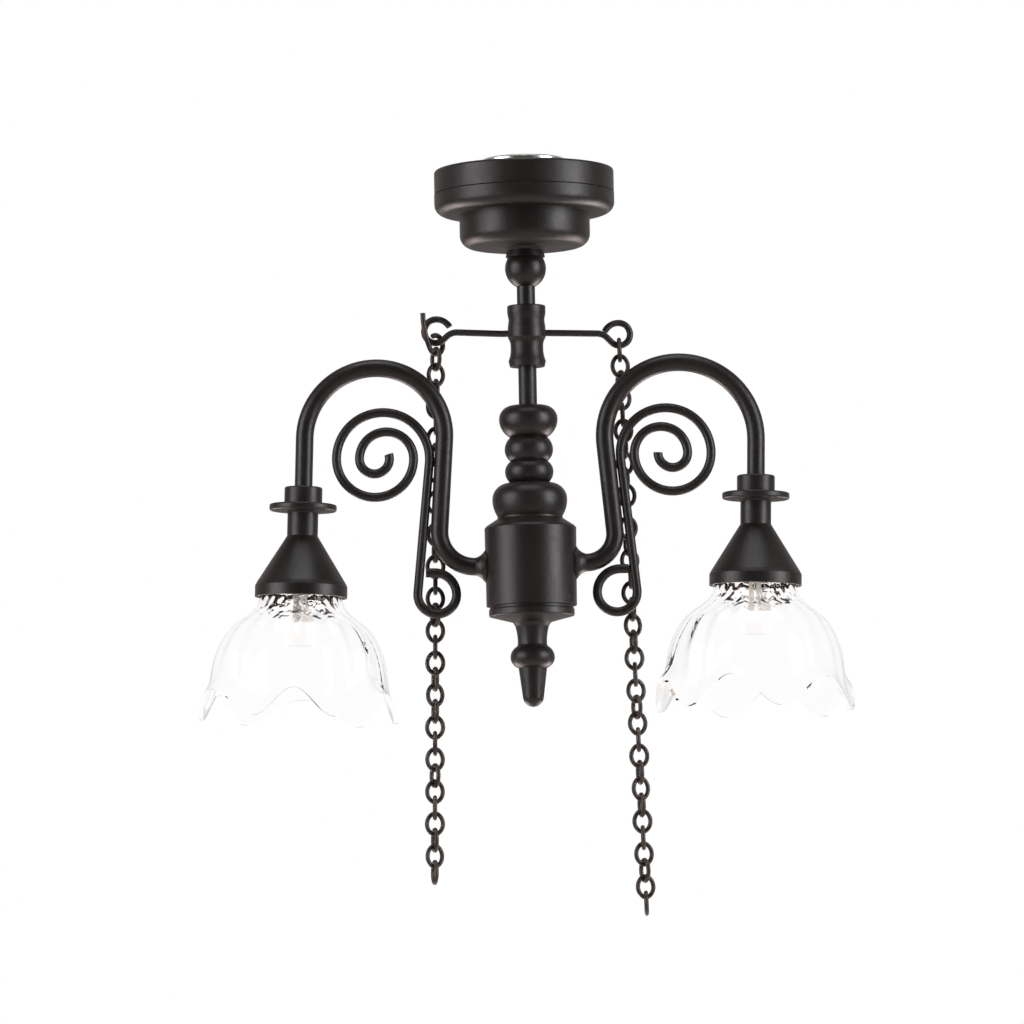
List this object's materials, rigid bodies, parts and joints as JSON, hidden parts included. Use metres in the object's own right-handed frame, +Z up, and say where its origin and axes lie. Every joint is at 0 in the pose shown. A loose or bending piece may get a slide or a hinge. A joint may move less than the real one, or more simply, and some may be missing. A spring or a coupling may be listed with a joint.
{
  "type": "dolls house ceiling light",
  "caption": "Black metal dolls house ceiling light with scrolled arms, clear fluted glass shades on small lamps, hanging link chains and a magnetic twist cap for a coin cell.",
  "frame": {"origin": "middle of the top face of the ceiling magnet, where it meets the ceiling", "axes": "+Z up towards the ceiling, +X along the arms to the viewer's right, +Y away from the viewer"},
  "size_m": [0.0681, 0.0206, 0.079],
  "materials": {
    "black_paint": "satin black paint over turned and bent metal",
    "chain": "blackened metal wire, slightly brown",
    "shade_glass": "clear pressed glass",
    "lamp_epoxy": "clear moulded epoxy",
    "lamp_wire": "tinned",
    "white_plastic": "moulded",
    "black_plastic": "moulded",
    "lead_enamel": "enamelled wire",
    "contact_brass": "stamped",
    "cell_steel": "plain steel",
    "magnet_nickel": "bright nickel plate"
  },
  "bodies": {
    "ceiling_cap": {"battery_cap": "black_paint", "ceiling_magnet": "magnet_nickel", "cap_contact": "contact_brass"},
    "battery_carrier": {"battery_tray": "black_plastic", "coin_cell": "cell_steel", "tray_contact": "contact_brass"},
    "lamp_frame": {"arm_lead_left": "lead_enamel", "arm_lead_right": "lead_enamel", "arm_left": "black_paint", "arm_right": "black_paint", "bead_four": "black_paint", "bead_one": "black_paint", "bead_three": "black_paint", "bead_two": "black_paint", "body_base": "black_paint", "body_drum": "black_paint", "canopy_collar": "black_paint", "canopy_dish": "black_paint", "crossbar_hub": "black_paint", "crossbar_left": "black_paint", "crossbar_right": "black_paint", "drip_saucer_left": "black_paint", "drip_saucer_right": "black_paint", "ferrule_left": "black_paint", "ferrule_right": "black_paint", "finial": "black_paint", "lamp_leads_left": "lamp_wire", "lamp_leads_right": "lamp_wire", "lamp_left": "lamp_epoxy", "lamp_plug_left": "white_plastic", "lamp_plug_right": "white_plastic", "lamp_right": "lamp_epoxy", "lead_splice": "lamp_wire", "scroll_left": "black_paint", "scroll_right": "black_paint", "shade_left": "shade_glass", "shade_right": "shade_glass", "socket_cup_left": "black_paint", "socket_cup_right": "black_paint", "stem_ball": "black_paint", "stem_contact": "contact_brass", "stem_lead": "lead_enamel", "stem_nut": "cell_steel", "stem_tube": "black_paint", "stem_washer": "white_plastic"},
    "chain_left_1": {"chain_left_1": "chain"},
    "chain_left_2": {"chain_left_2": "chain"},
    "chain_left_3": {"chain_left_3": "chain"},
    "chain_left_4": {"chain_left_4": "chain"},
    "chain_left_5": {"chain_left_5": "chain"},
    "chain_left_6": {"chain_left_6": "chain"},
    "chain_left_7": {"chain_left_7": "chain"},
    "chain_right_1": {"chain_right_1": "chain"},
    "chain_right_2": {"chain_right_2": "chain"},
    "chain_right_3": {"chain_right_3": "chain"},
    "chain_right_4": {"chain_right_4": "chain"},
    "chain_right_5": {"chain_right_5": "chain"},
    "chain_right_6": {"chain_right_6": "chain"},
    "chain_right_7": {"chain_right_7": "chain"}
  },
  "joints": [
    {"name": "switch_twist", "type": "hinge", "parent": "ceiling_cap", "child": "battery_carrier", "pos_m": [0, 0, -0.00317], "axis": [0, 0, 1], "range_deg": [0, 40]},
    {"name": "canopy_pull", "type": "slide", "parent": "battery_carrier", "child": "lamp_frame", "axis": [0, 0, -1], "range_m": [0, 0.004]},
    {"name": "left_chain_swing_1", "type": "hinge", "parent": "lamp_frame", "child": "chain_left_1", "pos_m": [-0.0095, 0.00236, -0.01882], "axis": [1, 0, 0], "range_deg": [0, 20]},
    {"name": "left_chain_sway_2", "type": "hinge", "parent": "chain_left_1", "child": "chain_left_2", "pos_m": [-0.00964, 0.00236, -0.02613], "axis": [0, 1, 0], "range_deg": [-3, 2.5]},
    {"name": "left_chain_swing_3", "type": "hinge", "parent": "chain_left_2", "child": "chain_left_3", "pos_m": [-0.0098, 0.00236, -0.03451], "axis": [1, 0, 0], "range_deg": [0, 30]},
    {"name": "left_chain_sway_4", "type": "hinge", "parent": "chain_left_3", "child": "chain_left_4", "pos_m": [-0.00996, 0.00236, -0.04289], "axis": [0, 1, 0], "range_deg": [-5, 5]},
    {"name": "left_chain_swing_5", "type": "hinge", "parent": "chain_left_4", "child": "chain_left_5", "pos_m": [-0.01012, 0.00236, -0.05126], "axis": [1, 0, 0], "range_deg": [-25, 30]},
    {"name": "left_chain_sway_6", "type": "hinge", "parent": "chain_left_5", "child": "chain_left_6", "pos_m": [-0.01028, 0.00236, -0.05964], "axis": [0, 1, 0], "range_deg": [-6, 35]},
    {"name": "left_chain_swing_7", "type": "hinge", "parent": "chain_left_6", "child": "chain_left_7", "pos_m": [-0.01044, 0.00236, -0.06802], "axis": [1, 0, 0], "range_deg": [-45, 45]},
    {"name": "right_chain_swing_1", "type": "hinge", "parent": "lamp_frame", "child": "chain_right_1", "pos_m": [0.00965, 0.00236, -0.01944], "axis": [1, 0, 0], "range_deg": [0, 45]},
    {"name": "right_chain_sway_2", "type": "hinge", "parent": "chain_right_1", "child": "chain_right_2", "pos_m": [0.00989, 0.00236, -0.02781], "axis": [0, -1, 0], "range_deg": [-3, 2.5]},
    {"name": "right_chain_swing_3", "type": "hinge", "parent": "chain_right_2", "child": "chain_right_3", "pos_m": [0.01014, 0.00236, -0.03631], "axis": [1, 0, 0], "range_deg": [0, 30]},
    {"name": "right_chain_sway_4", "type": "hinge", "parent": "chain_right_3", "child": "chain_right_4", "pos_m": [0.01038, 0.00236, -0.04481], "axis": [0, -1, 0], "range_deg": [-5, 5]},
    {"name": "right_chain_swing_5", "type": "hinge", "parent": "chain_right_4", "child": "chain_right_5", "pos_m": [0.01063, 0.00236, -0.05331], "axis": [1, 0, 0], "range_deg": [-25, 30]},
    {"name": "right_chain_sway_6", "type": "hinge", "parent": "chain_right_5", "child": "chain_right_6", "pos_m": [0.01087, 0.00236, -0.06181], "axis": [0, -1, 0], "range_deg": [-6, 35]},
    {"name": "right_chain_swing_7", "type": "hinge", "parent": "chain_right_6", "child": "chain_right_7", "pos_m": [0.01111, 0.00236, -0.07031], "axis": [1, 0, 0], "range_deg": [-45, 45]}
  ]
}
